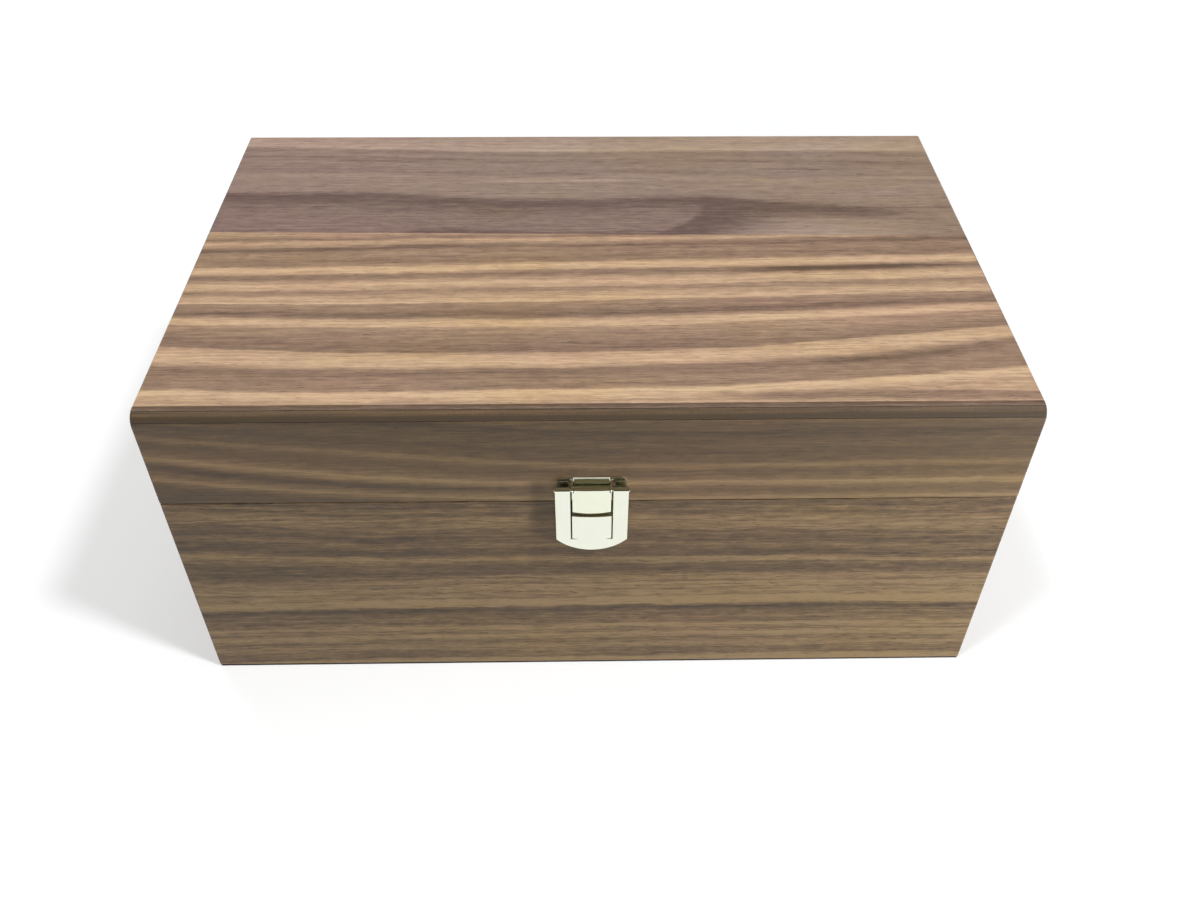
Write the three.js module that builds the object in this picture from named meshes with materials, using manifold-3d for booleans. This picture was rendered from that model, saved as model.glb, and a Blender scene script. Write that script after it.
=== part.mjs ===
// Wooden storage box for papers and keepsakes: a veneered box of boards with a felt base, a lid that
// turns on two rear hinges, and a spring latch in the middle of the front.
// Millimetres, +Z up. The origin is the centre of the underside, and the front looks along -Y.

import * as THREE from 'three';
import { mergeVertices } from 'three/addons/utils/BufferGeometryUtils.js';
import Module from 'manifold-3d';

// Outer size of the closed box, without latch and hinges
const boxWidth = 380;
const boxDepth = 240;
const boxHeight = 170;
const lidHeight = 50.9;
const lidSeatGap = 0.2;

// Boards, veneer and felt
const wallThickness = 9;
const topThickness = 9;
const veneerThickness = 0.4;
const roundOverRadius = 9;
const floorThickness = 6;
const rabbetDepth = 4;
const floorPlay = 0.3;
const baseFeltThickness = 0.8;
const baseFeltInset = 1.2;
const liningThickness = 1.2;
const liningPlay = 0.4;
const topJoinY = 17.1;
const topJoinSkew = 2.85;

// Latch
const latchSheet = 0.8;
const latchWidth = 32;
const latchTaper = 0.15;
const latchPinRise = 11;
const latchPinRadius = 0.6;
const latchPinOffset = 4.5;
const latchPinPlay = 0.1;
const armWidth = 6.6;
const slotWidth = 0.7;
const slotHookReach = 2.9;
const slotHookRise = 0.5;
const tongueDrop = 14.8;
const tongueSag = 0.6;
const armLength = 29.6;
const flapSag = 7.05;
const flapRimDepth = 0.8;
const flapRimWidth = 0.9;
const flapRimRise = 10.9;
const lidPlateWidth = 31;
const lidPlateRise = 4.05;
const lidPlateChamfer = 2.2;
const plateSeamGap = 1.1;
const earThickness = 0.5;
const earGap = 0.65;
const earRadius = 1.25;
const earRise = 2.6;
const earWindow = 1.6;
const reliefWidth = 1;
const strikeReliefDepth = 14.8;
const strikeWidth = 27;
const strikeHeight = 16.2;
const strikeThickness = 0.9;
const strikeCornerRadius = 2;
const hookSheet = 0.7;
const hookBulge = 0.2;
const hookRiserGap = 0.4;
const hookReach = 2.75;
const hookFoldRadius = 0.45;
const hookLipGap = 0.12;
const hookEarGap = 0.35;
const hookShoulder = 0.7;
const hookRise = 0.15;
const hookSlotGap = 0.25;
const hookRootDrop = 8;
const pinHeadRadius = 1;
const pinHeadThickness = 0.35;
const pinInnerHead = 0.15;

// Hinges
const hingeSpacing = 230;
const hingeWidth = 28;
const hingeLeafHeight = 14.5;
const hingeSheet = 1;
const hingeKnuckleRadius = 2;
const hingeKnuckleGap = 0.3;
const hingeCentreKnuckle = 10;
const hingePinRadius = 0.85;
const hingePinPlay = 0.12;
const hingePinHead = 0.5;
const hingeWallGap = 0.15;
const lugThickness = 1.2;
const lugReach = 5.2;
const lugClearance = 0.35;
const lugRoot = 7;
const lidOpenAngle = 95;
const lugSlackAngle = 1;

// Screws
const hingeScrewHead = 2.4;
const hingeScrewShank = 1.2;
const hingeScrewLength = 7;
const hingeScrewSpacing = 16;
const hingeScrewDrop = 8.8;
const latchScrewHead = 1.7;
const latchScrewShank = 0.8;
const latchScrewLength = 6;
const lidScrewSpacing = 10;
const lidScrewRise = 4.4;
const strikeScrewSpacing = 22.6;
const strikeScrewRise = 2.9;
const screwPlay = 0.1;

// Overrun of every cut, and the number of flats on round work
const overrun = 1;
const roundFlats = 24;
const screwFlats = 12;
const hookSteps = 8;

// Levels and faces worked out from the sizes above
const seamLow = boxHeight - lidHeight - lidSeatGap;
const seamHigh = boxHeight - lidHeight;
const latchPinHeight = seamHigh + latchPinRise;
const tongueTop = latchPinHeight - tongueDrop;
const flapCorner = latchPinHeight - armLength;
const flapBottom = flapCorner - flapSag;
const plateLow = seamHigh + plateSeamGap;
const lidPlateTop = latchPinHeight + lidPlateRise;
const strikeTop = seamLow - plateSeamGap;
const strikeBottom = strikeTop - strikeHeight;
const frontY = -boxDepth / 2;
const backY = boxDepth / 2;
const sideX = boxWidth / 2;
const boardThickness = wallThickness - veneerThickness;
const boardWidth = boxWidth - 2 * veneerThickness;
const boardDepth = boxDepth - 2 * veneerThickness;
const topBoardLow = boxHeight - topThickness;
const floorTop = baseFeltThickness + floorThickness;

const root = new THREE.Group();

const wasm = await Module();
wasm.setup();

// A closed solid for joins and cuts, from a geometry
function solidOf(geometry) {
  const bare = geometry.clone();
  bare.deleteAttribute('normal');
  bare.deleteAttribute('uv');
  const merged = mergeVertices(bare);
  const mesh = new wasm.Mesh({
    numProp: 3,
    vertProperties: Float32Array.from(merged.attributes.position.array),
    triVerts: Uint32Array.from(merged.index.array),
  });
  return new wasm.Manifold(mesh);
}

// The geometry of a joined or cut solid
function geometryOf(solid) {
  const mesh = solid.getMesh();
  const geometry = new THREE.BufferGeometry();
  geometry.setAttribute('position', new THREE.BufferAttribute(mesh.vertProperties, 3));
  geometry.setIndex(new THREE.BufferAttribute(mesh.triVerts, 1));
  geometry.computeVertexNormals();
  return geometry;
}

// Adds one named piece with a material of its own
function addPiece(name, geometry, finish) {
  const mesh = new THREE.Mesh(geometry, new THREE.MeshStandardMaterial(finish));
  mesh.name = name;
  root.add(mesh);
}

// A straight-sided block between two corners
function block(x0, x1, y0, y1, z0, z1) {
  const geometry = new THREE.BoxGeometry(x1 - x0, y1 - y0, z1 - z0);
  geometry.translate((x0 + x1) / 2, (y0 + y1) / 2, (z0 + z1) / 2);
  return geometry;
}

// An outline drawn in (y, z), drawn out along X between two places
function alongX(shape, x0, x1, steps = 1) {
  const settings = { depth: x1 - x0, bevelEnabled: false, steps, curveSegments: roundFlats / 2 };
  const geometry = new THREE.ExtrudeGeometry(shape, settings);
  const turn = new THREE.Matrix4().makeBasis(
    new THREE.Vector3(0, 1, 0),
    new THREE.Vector3(0, 0, 1),
    new THREE.Vector3(1, 0, 0),
  );
  geometry.applyMatrix4(turn);
  geometry.translate(x0, 0, 0);
  return geometry;
}

// An outline drawn in (x, z), drawn out towards the front from y1 to y0
function alongY(shape, y0, y1) {
  const settings = { depth: y1 - y0, bevelEnabled: false, curveSegments: roundFlats / 2 };
  const geometry = new THREE.ExtrudeGeometry(shape, settings);
  geometry.rotateX(Math.PI / 2);
  geometry.translate(0, y1, 0);
  return geometry;
}

// A cylinder along X
function roundBar(radius, x0, x1, y, z) {
  const geometry = new THREE.CylinderGeometry(radius, radius, x1 - x0, roundFlats);
  geometry.rotateZ(Math.PI / 2);
  geometry.translate((x0 + x1) / 2, y, z);
  return geometry;
}

function outline(points) {
  return new THREE.Shape(points.map(([a, b]) => new THREE.Vector2(a, b)));
}

// Finishes
const veneerFinish = { color: 0x8a7058, roughness: 0.5, metalness: 0 };
const boardFinish = { color: 0x6e5640, roughness: 0.7, metalness: 0 };
const panelFinish = { color: 0x7d644c, roughness: 0.7, metalness: 0 };
const baseFeltFinish = { color: 0x2a1a18, roughness: 1, metalness: 0 };
const liningFinish = { color: 0x3a2a26, roughness: 1, metalness: 0 };
const platedFinish = { color: 0xe6e6e2, roughness: 0.15, metalness: 1 };
const screwFinish = { color: 0xd2d2ce, roughness: 0.25, metalness: 1 };

// Screws: a countersunk head, a round shank and a point
// The profile runs from the point up the axis. Play widens it for the hole, and above lengthens that.
function screwGeometry(head, shank, length, play, above) {
  const profile = [
    new THREE.Vector2(0, -length - play),
    new THREE.Vector2(shank + play, 2 * shank - length),
    new THREE.Vector2(shank + play, shank - head),
    new THREE.Vector2(head + play, 0),
  ];
  if (above > 0) {
    profile.push(new THREE.Vector2(head + play, above));
  }
  profile.push(new THREE.Vector2(0, above));
  return new THREE.LatheGeometry(profile, screwFlats);
}

const screwKinds = {
  hinge: [hingeScrewHead, hingeScrewShank, hingeScrewLength],
  latch: [latchScrewHead, latchScrewShank, latchScrewLength],
};

// Places a screw or its hole with the top of the head at y, driven towards the inside of the box
function driveScrew(kind, play, above, x, y, z) {
  const geometry = screwGeometry(...screwKinds[kind], play, above);
  geometry.rotateX(y > 0 ? 0 : Math.PI);
  geometry.translate(x, y, z);
  return geometry;
}

// Cuts the holes of a list of screws out of a geometry
function drill(geometry, screws) {
  let solid = solidOf(geometry);
  for (const { kind, x, y, z } of screws) {
    solid = solid.subtract(solidOf(driveScrew(kind, screwPlay, overrun, x, y, z)));
  }
  return geometryOf(solid);
}

// Places of the hinges and of every screw
const hingeAxisY = backY + hingeKnuckleRadius + hingeWallGap;
const hingeAxisZ = (seamLow + seamHigh) / 2;
const hingePlaces = { left: -hingeSpacing / 2, right: hingeSpacing / 2 };
const latchFrontY = frontY - latchSheet;
const strikeFrontY = frontY - strikeThickness;

function screwPair(kind, centreX, spacing, y, z) {
  return [-spacing / 2, spacing / 2].map((x) => ({ kind, x: centreX + x, y, z }));
}

const leafScrews = {};
for (const [side, centreX] of Object.entries(hingePlaces)) {
  const face = backY + hingeSheet;
  leafScrews[side] = {
    body: screwPair('hinge', centreX, hingeScrewSpacing, face, hingeAxisZ - hingeScrewDrop),
    lid: screwPair('hinge', centreX, hingeScrewSpacing, face, hingeAxisZ + hingeScrewDrop),
  };
}
const lidPlateScrews = screwPair('latch', 0, lidScrewSpacing, latchFrontY, plateLow + lidScrewRise);
const strikeScrewHeight = strikeBottom + strikeScrewRise;
const strikeScrews = screwPair('latch', 0, strikeScrewSpacing, strikeFrontY, strikeScrewHeight);
const bodyBackScrews = leafScrews.left.body.concat(leafScrews.right.body);
const lidBackScrews = leafScrews.left.lid.concat(leafScrews.right.lid);

// Walls: a board profile of (depth from the outer face, height), mitred at both ends
function mitredWall(profile, length, offset, turn) {
  const geometry = alongX(outline(profile), -length / 2, length / 2);
  const position = geometry.attributes.position;
  for (let i = 0; i < position.count; i += 1) {
    const depth = position.getY(i);
    const end = Math.sign(position.getX(i)) * (length / 2 - depth);
    position.setXYZ(i, end, depth - offset, position.getZ(i));
  }
  geometry.rotateZ(turn);
  return geometry;
}

const wallSides = {
  front: { length: boardWidth, offset: boardDepth / 2, turn: 0 },
  right: { length: boardDepth, offset: boardWidth / 2, turn: Math.PI / 2 },
  back: { length: boardWidth, offset: boardDepth / 2, turn: Math.PI },
  left: { length: boardDepth, offset: boardWidth / 2, turn: -Math.PI / 2 },
};

// Body walls have a rabbet for the bottom panel, lid walls are plain
const bodyProfile = [
  [0, baseFeltThickness],
  [boardThickness - rabbetDepth, baseFeltThickness],
  [boardThickness - rabbetDepth, floorTop],
  [boardThickness, floorTop],
  [boardThickness, seamLow],
  [0, seamLow],
];
const lidProfile = [
  [0, seamHigh],
  [boardThickness, seamHigh],
  [boardThickness, topBoardLow],
  [0, topBoardLow],
];
const wallScrews = {
  body: { front: strikeScrews, back: bodyBackScrews, left: [], right: [] },
  lid: { front: lidPlateScrews, back: lidBackScrews, left: [], right: [] },
};
for (const [side, { length, offset, turn }] of Object.entries(wallSides)) {
  const bodyWall = mitredWall(bodyProfile, length, offset, turn);
  const lidWall = mitredWall(lidProfile, length, offset, turn);
  addPiece(`body_${side}_wall`, drill(bodyWall, wallScrews.body[side]), boardFinish);
  addPiece(`lid_${side}_wall`, drill(lidWall, wallScrews.lid[side]), boardFinish);
}

// Bottom panel in the rabbet, felt under the base, felt lining on the floor
const panelX = boardWidth / 2 - boardThickness + rabbetDepth - floorPlay;
const panelY = boardDepth / 2 - boardThickness + rabbetDepth - floorPlay;
addPiece(
  'bottom_panel',
  block(-panelX, panelX, -panelY, panelY, baseFeltThickness, floorTop),
  panelFinish,
);
const feltX = sideX - baseFeltInset;
const feltY = backY - baseFeltInset;
addPiece('base_felt', block(-feltX, feltX, -feltY, feltY, 0, baseFeltThickness), baseFeltFinish);
const liningX = sideX - wallThickness - liningPlay;
const liningY = backY - wallThickness - liningPlay;
addPiece(
  'floor_lining',
  block(-liningX, liningX, -liningY, liningY, floorTop, floorTop + liningThickness),
  liningFinish,
);

// The rounded front top edge, cut through the top and front veneer into the top board.
// The veneer ends where the arc passes its inner face.
const roundOver = Math.min(roundOverRadius, topThickness);
const arcY = frontY + roundOver;
const arcZ = boxHeight - roundOver;
const arcInside = roundOver - veneerThickness;
const arcReach = Math.sqrt(roundOver ** 2 - arcInside ** 2);
const arcSkin = Math.acos(arcInside / roundOver);
const arcTop = Math.PI / 2;

function topBoardOutline(low) {
  const shape = new THREE.Shape();
  shape.moveTo(frontY + veneerThickness, low);
  shape.lineTo(backY - veneerThickness, low);
  shape.lineTo(backY - veneerThickness, boxHeight - veneerThickness);
  shape.lineTo(arcY - arcReach, boxHeight - veneerThickness);
  shape.absarc(arcY, arcZ, roundOver, arcTop + arcSkin, Math.PI - arcSkin, false);
  shape.closePath();
  return shape;
}

addPiece('lid_top_board', alongX(topBoardOutline(topBoardLow), -boardWidth / 2, boardWidth / 2), boardFinish);

// Veneer on the walls: the front and back sheets cover the edges of the side sheets
const bodyFrontVeneer = block(-sideX, sideX, frontY, frontY + veneerThickness, baseFeltThickness, seamLow);
const bodyBackVeneer = block(-sideX, sideX, backY - veneerThickness, backY, baseFeltThickness, seamLow);
addPiece('body_front_veneer', drill(bodyFrontVeneer, strikeScrews), veneerFinish);
addPiece('body_back_veneer', drill(bodyBackVeneer, bodyBackScrews), veneerFinish);
const lidBackLow = boxHeight - veneerThickness;
const lidBackVeneer = block(-sideX, sideX, backY - veneerThickness, backY, seamHigh, lidBackLow);
addPiece('lid_back_veneer', drill(lidBackVeneer, lidBackScrews), veneerFinish);

const lidFrontOutline = new THREE.Shape();
lidFrontOutline.moveTo(frontY, seamHigh);
lidFrontOutline.lineTo(frontY + veneerThickness, seamHigh);
lidFrontOutline.lineTo(frontY + veneerThickness, arcZ + arcReach);
lidFrontOutline.absarc(arcY, arcZ, roundOver, Math.PI - arcSkin, Math.PI, false);
lidFrontOutline.closePath();
addPiece('lid_front_veneer', drill(alongX(lidFrontOutline, -sideX, sideX), lidPlateScrews), veneerFinish);

const sideVeneers = { left: [-sideX, veneerThickness - sideX], right: [sideX - veneerThickness, sideX] };
for (const [side, [x0, x1]] of Object.entries(sideVeneers)) {
  const half = boardDepth / 2;
  addPiece(`body_${side}_veneer`, block(x0, x1, -half, half, baseFeltThickness, seamLow), veneerFinish);
  addPiece(`lid_${side}_veneer`, alongX(topBoardOutline(seamHigh), x0, x1), veneerFinish);
}

// Two sheets on the top, which meet on a line that is a little out of square
function skewJoin(geometry) {
  const position = geometry.attributes.position;
  for (let i = 0; i < position.count; i += 1) {
    if (Math.abs(position.getY(i) - topJoinY) < veneerThickness) {
      position.setY(i, topJoinY - Math.sign(position.getX(i)) * topJoinSkew);
    }
  }
  return geometry;
}

const topFrontOutline = new THREE.Shape();
topFrontOutline.moveTo(topJoinY, boxHeight - veneerThickness);
topFrontOutline.lineTo(topJoinY, boxHeight);
topFrontOutline.lineTo(arcY, boxHeight);
topFrontOutline.absarc(arcY, arcZ, roundOver, arcTop, arcTop + arcSkin, false);
topFrontOutline.closePath();
const topRear = block(-sideX, sideX, topJoinY, backY, boxHeight - veneerThickness, boxHeight);
addPiece('lid_top_veneer_front', skewJoin(alongX(topFrontOutline, -sideX, sideX)), veneerFinish);
addPiece('lid_top_veneer_rear', skewJoin(topRear), veneerFinish);

// Latch: where the pins lie, and the flap's two faces
const latchPinY = frontY - latchPinOffset;
const flapBarrel = latchPinRadius + latchPinPlay + latchSheet;
const flapFrontY = latchPinY - flapBarrel;
const flapBackY = flapFrontY + latchSheet;
const armInner = latchWidth / 2 - armWidth;
const tongueHalf = armInner - slotWidth;
const earInner = armInner - earGap - earThickness;

// Lid plate: a flat plate with chamfered top corners and two ears bent forward at the pins
const plateHalf = lidPlateWidth / 2;
const plateShape = outline([
  [-plateHalf, plateLow],
  [plateHalf, plateLow],
  [plateHalf, lidPlateTop - lidPlateChamfer],
  [plateHalf - lidPlateChamfer, lidPlateTop],
  [lidPlateChamfer - plateHalf, lidPlateTop],
  [-plateHalf, lidPlateTop - lidPlateChamfer],
]);
const earShape = new THREE.Shape();
earShape.moveTo(frontY - latchSheet / 2, latchPinHeight + earRise);
earShape.lineTo(frontY - latchSheet / 2, latchPinHeight - earRadius);
earShape.lineTo(latchPinY, latchPinHeight - earRadius);
earShape.absarc(latchPinY, latchPinHeight, earRadius, -Math.PI / 2, -3 * Math.PI / 2, true);
earShape.closePath();
let lidPlate = solidOf(alongY(plateShape, latchFrontY, frontY));
for (const side of [-1, 1]) {
  const from = side < 0 ? -earInner - earThickness : earInner;
  const ear = solidOf(alongX(earShape, from, from + earThickness));
  const bore = roundBar(latchPinRadius + latchPinPlay, from - overrun, from + earThickness + overrun,
    latchPinY, latchPinHeight);
  lidPlate = lidPlate.add(ear.subtract(solidOf(bore)));
}

// The ears are bent out of the plate: each leaves a window beside it, with a relief cut below
for (const side of [-1, 1]) {
  const inner = side * (earInner + earThickness);
  for (const [width, low, high] of [
    [earWindow, latchPinHeight - earRadius, latchPinHeight + earRise],
    [reliefWidth, plateLow - overrun, latchPinHeight],
  ]) {
    const outer = inner + side * width;
    lidPlate = lidPlate.subtract(solidOf(block(Math.min(inner, outer), Math.max(inner, outer),
      latchFrontY - overrun, frontY + overrun, low, high)));
  }
}
addPiece('latch_lid_plate', drill(geometryOf(lidPlate), lidPlateScrews), platedFinish);

// Pins: riveted over inside the ear and outside the flap's barrel
const pinInnerEnd = earInner - latchPinPlay;
const pinOuterEnd = latchWidth / 2 + latchPinPlay;
const pinProfile = [
  new THREE.Vector2(0, pinInnerEnd - pinInnerHead),
  new THREE.Vector2(pinHeadRadius, pinInnerEnd - pinInnerHead),
  new THREE.Vector2(pinHeadRadius, pinInnerEnd),
  new THREE.Vector2(latchPinRadius, pinInnerEnd),
  new THREE.Vector2(latchPinRadius, pinOuterEnd),
  new THREE.Vector2(pinHeadRadius, pinOuterEnd),
  new THREE.Vector2(pinHeadRadius, pinOuterEnd + pinHeadThickness),
  new THREE.Vector2(0, pinOuterEnd + pinHeadThickness),
];
for (const [side, sign] of [['left', 1], ['right', -1]]) {
  const pin = new THREE.LatheGeometry(pinProfile, roundFlats);
  pin.rotateZ(sign * Math.PI / 2);
  pin.translate(0, latchPinY, latchPinHeight);
  addPiece(`latch_pin_${side}`, pin, platedFinish);
}

// Flap: arms, tongue and lower arc in one outline, with the slots running down from the window
const flapHalf = latchWidth / 2;
const flapLowHalf = flapHalf - latchTaper;
const flapArc = (flapLowHalf ** 2 + flapSag ** 2) / (2 * flapSag);
const flapArcAngle = Math.asin(flapLowHalf / flapArc);
const tongueArc = (tongueHalf ** 2 + tongueSag ** 2) / (2 * tongueSag);
const tongueArcAngle = Math.asin(tongueHalf / tongueArc);
const slotTip = tongueHalf - slotHookReach;

function lowerEdge(shape, half, top, inset) {
  const radius = flapArc - inset;
  const angle = Math.asin((half - inset) / radius);
  shape.moveTo(inset - half, top);
  shape.lineTo(inset - half, flapBottom + flapArc - radius * Math.cos(angle));
  shape.absarc(0, flapBottom + flapArc, radius, -Math.PI / 2 - angle, -Math.PI / 2 + angle, false);
  shape.lineTo(half - inset, top);
}

const flapShape = new THREE.Shape();
flapShape.moveTo(-flapHalf, latchPinHeight);
flapShape.lineTo(-flapLowHalf, flapCorner);
flapShape.absarc(0, flapBottom + flapArc, flapArc,
  -Math.PI / 2 - flapArcAngle, -Math.PI / 2 + flapArcAngle, false);
flapShape.lineTo(flapHalf, latchPinHeight);
flapShape.lineTo(armInner, latchPinHeight);
flapShape.lineTo(armInner, flapCorner);
flapShape.lineTo(slotTip, flapCorner);
flapShape.lineTo(tongueHalf, flapCorner + slotHookRise);
flapShape.lineTo(tongueHalf, tongueTop);
flapShape.absarc(0, tongueTop - tongueSag + tongueArc, tongueArc,
  -Math.PI / 2 + tongueArcAngle, -Math.PI / 2 - tongueArcAngle, true);
flapShape.lineTo(-tongueHalf, flapCorner + slotHookRise);
flapShape.lineTo(-slotTip, flapCorner);
flapShape.lineTo(-armInner, flapCorner);
flapShape.lineTo(-armInner, latchPinHeight);
flapShape.closePath();

// Its lower rim is turned back towards the box
const rimShape = new THREE.Shape();
lowerEdge(rimShape, flapLowHalf, flapCorner + flapRimRise, 0);
rimShape.closePath();
const rimHollow = new THREE.Shape();
lowerEdge(rimHollow, flapLowHalf, flapCorner + flapRimRise + overrun, flapRimWidth);
rimHollow.closePath();
const rimRing = solidOf(alongY(rimShape, flapBackY - latchSheet / 2, flapBackY + flapRimDepth));
const rimCore = solidOf(alongY(rimHollow, flapBackY - overrun, flapBackY + flapRimDepth + overrun));
let flap = solidOf(alongY(flapShape, flapFrontY, flapBackY)).add(rimRing.subtract(rimCore));
for (const side of [-1, 1]) {
  const from = side < 0 ? -flapHalf : armInner;
  const barrel = solidOf(roundBar(flapBarrel, from, from + armWidth, latchPinY, latchPinHeight));
  const bore = roundBar(latchPinRadius + latchPinPlay, from - overrun, from + armWidth + overrun,
    latchPinY, latchPinHeight);
  flap = flap.add(barrel).subtract(solidOf(bore));
}
addPiece('latch_flap', geometryOf(flap), platedFinish);

// Strike plate: a flat plate under the flap, whose middle strip steps forward past the lid plate,
// rises behind the flap's window and folds over twice into a hook above the tongue
const hookHalf = tongueHalf - hookSlotGap;
const riserY = latchFrontY - hookRiserGap - hookSheet / 2;
const lipY = riserY - hookReach;
const hookTop = latchPinHeight + hookRise;
const shoulderTop = latchPinHeight - earRadius - hookEarGap;
const foldZ = hookTop - hookSheet / 2 - hookFoldRadius;
const hookLow = tongueTop + hookLipGap;

// Outline of a bent strip, from its middle line and its thickness
function bentStrip(line, thickness) {
  const left = [];
  const right = [];
  line.forEach((point, i) => {
    const before = line[Math.max(i - 1, 0)];
    const after = line[Math.min(i + 1, line.length - 1)];
    const along = new THREE.Vector2().subVectors(after, before).normalize();
    const across = new THREE.Vector2(-along.y, along.x).multiplyScalar(thickness / 2);
    left.push(point.clone().add(across));
    right.unshift(point.clone().sub(across));
  });
  return new THREE.Shape(left.concat(right));
}

const stripY = frontY - strikeThickness + hookSheet / 2;
const stepHeight = Math.abs(riserY - stripY);
const strip = [
  new THREE.Vector2(stripY, strikeTop - stepHeight - hookRootDrop),
  new THREE.Vector2(stripY, strikeTop - stepHeight),
  new THREE.Vector2(riserY, strikeTop),
];
const foldSteps = 4;
for (const [middle, start] of [[riserY - hookFoldRadius, 0], [lipY + hookFoldRadius, 1]]) {
  for (let i = 0; i <= foldSteps; i += 1) {
    const angle = Math.PI / 2 * (start + i / foldSteps);
    strip.push(new THREE.Vector2(
      middle + hookFoldRadius * Math.cos(angle),
      foldZ + hookFoldRadius * Math.sin(angle),
    ));
  }
}
strip.push(new THREE.Vector2(lipY, hookLow));
const hook = alongX(bentStrip(strip, hookSheet), -hookHalf, hookHalf, hookSteps);
const hookPosition = hook.attributes.position;
for (let i = 0; i < hookPosition.count; i += 1) {
  const forward = (riserY - hookPosition.getY(i)) / (riserY - lipY);
  const share = THREE.MathUtils.clamp(forward, 0, 1);
  const middle = 1 - (hookPosition.getX(i) / hookHalf) ** 2;
  const low = THREE.MathUtils.clamp((foldZ - hookPosition.getZ(i)) / (foldZ - hookLow), 0, 1);
  hookPosition.setY(i, hookPosition.getY(i) - share * hookBulge * middle);
  hookPosition.setZ(i, hookPosition.getZ(i) - share * low * tongueSag * middle);
}

// Its upper corners are cut away beside the ears and the ends of the pins
let hookSolid = solidOf(hook);
for (const side of [-1, 1]) {
  const inner = side * (hookHalf - hookShoulder);
  const outer = side * (hookHalf + overrun);
  hookSolid = hookSolid.subtract(solidOf(block(Math.min(inner, outer), Math.max(inner, outer),
    lipY - hookSheet - hookBulge, riserY + hookSheet, shoulderTop, hookTop + overrun)));
}
const strikeHalf = strikeWidth / 2;
const strikeShape = new THREE.Shape();
strikeShape.moveTo(-strikeHalf, strikeTop);
strikeShape.lineTo(-strikeHalf, strikeBottom + strikeCornerRadius);
strikeShape.absarc(strikeCornerRadius - strikeHalf, strikeBottom + strikeCornerRadius,
  strikeCornerRadius, Math.PI, 3 * Math.PI / 2, false);
strikeShape.absarc(strikeHalf - strikeCornerRadius, strikeBottom + strikeCornerRadius,
  strikeCornerRadius, -Math.PI / 2, 0, false);
strikeShape.lineTo(strikeHalf, strikeTop);
strikeShape.closePath();
let strikeSheet = solidOf(alongY(strikeShape, strikeFrontY, frontY));
for (const side of [-1, 1]) {
  const inner = side * hookHalf;
  const outer = side * (hookHalf + reliefWidth);
  strikeSheet = strikeSheet.subtract(solidOf(block(Math.min(inner, outer), Math.max(inner, outer),
    strikeFrontY - overrun, frontY + overrun, strikeTop - strikeReliefDepth, strikeTop + overrun)));
}
const strike = strikeSheet.add(hookSolid);
addPiece('latch_strike_plate', drill(geometryOf(strike), strikeScrews), platedFinish);

// Hinges: each leaf lies on the back, with its knuckles round the pin at the seam
const knuckleEdges = {
  outer: hingeWidth / 2,
  centre: hingeCentreKnuckle / 2,
};
const knuckles = {
  body: [
    [-knuckleEdges.outer, -knuckleEdges.centre - hingeKnuckleGap / 2],
    [knuckleEdges.centre + hingeKnuckleGap / 2, knuckleEdges.outer],
  ],
  lid: [[hingeKnuckleGap / 2 - knuckleEdges.centre, knuckleEdges.centre - hingeKnuckleGap / 2]],
};
const hingeBore = hingePinRadius + hingePinPlay;
const leafNotch = hingeKnuckleRadius + hingeKnuckleGap;

// A stop lug in (y, z) seen from the hinge axis, below it for the body and above it for the lid
function lugShape(up) {
  const stop = THREE.MathUtils.degToRad((lidOpenAngle + lugSlackAngle) / 2);
  const inner = hingeKnuckleRadius + lugClearance;
  const rootY = hingeSheet / 2 - hingeKnuckleRadius - hingeWallGap;
  const shape = new THREE.Shape();
  shape.moveTo(rootY, up * lugRoot);
  shape.lineTo(lugReach * Math.cos(stop), up * lugReach * Math.sin(stop));
  shape.lineTo(inner * Math.cos(stop), up * inner * Math.sin(stop));
  shape.absarc(0, 0, inner, up * stop, up * 7 * Math.PI / 12, up < 0);
  shape.lineTo(rootY, up * leafNotch);
  shape.closePath();
  return shape;
}

function hingeLeaf(part, centreX, up) {
  const half = hingeWidth / 2;
  const z0 = hingeAxisZ + up * leafNotch;
  const z1 = hingeAxisZ + up * hingeLeafHeight;
  let leaf = solidOf(block(-half, half, backY, backY + hingeSheet, Math.min(z0, z1), Math.max(z0, z1)));
  const z2 = hingeAxisZ + up * (leafNotch + overrun);
  const fingerLow = Math.min(hingeAxisZ, z2);
  const fingerHigh = Math.max(hingeAxisZ, z2);
  for (const [from, to] of knuckles[part]) {
    leaf = leaf.add(solidOf(block(from, to, backY, backY + hingeSheet, fingerLow, fingerHigh)));
    leaf = leaf.add(solidOf(roundBar(hingeKnuckleRadius, from, to, hingeAxisY, hingeAxisZ)));
  }
  leaf = leaf.subtract(solidOf(roundBar(hingeBore, -hingeWidth, hingeWidth, hingeAxisY, hingeAxisZ)));
  for (const from of [-half, half - lugThickness]) {
    const lug = alongX(lugShape(up), from, from + lugThickness);
    lug.translate(0, hingeAxisY, hingeAxisZ);
    leaf = leaf.add(solidOf(lug));
  }
  return leaf.translate([centreX, 0, 0]);
}

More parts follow.
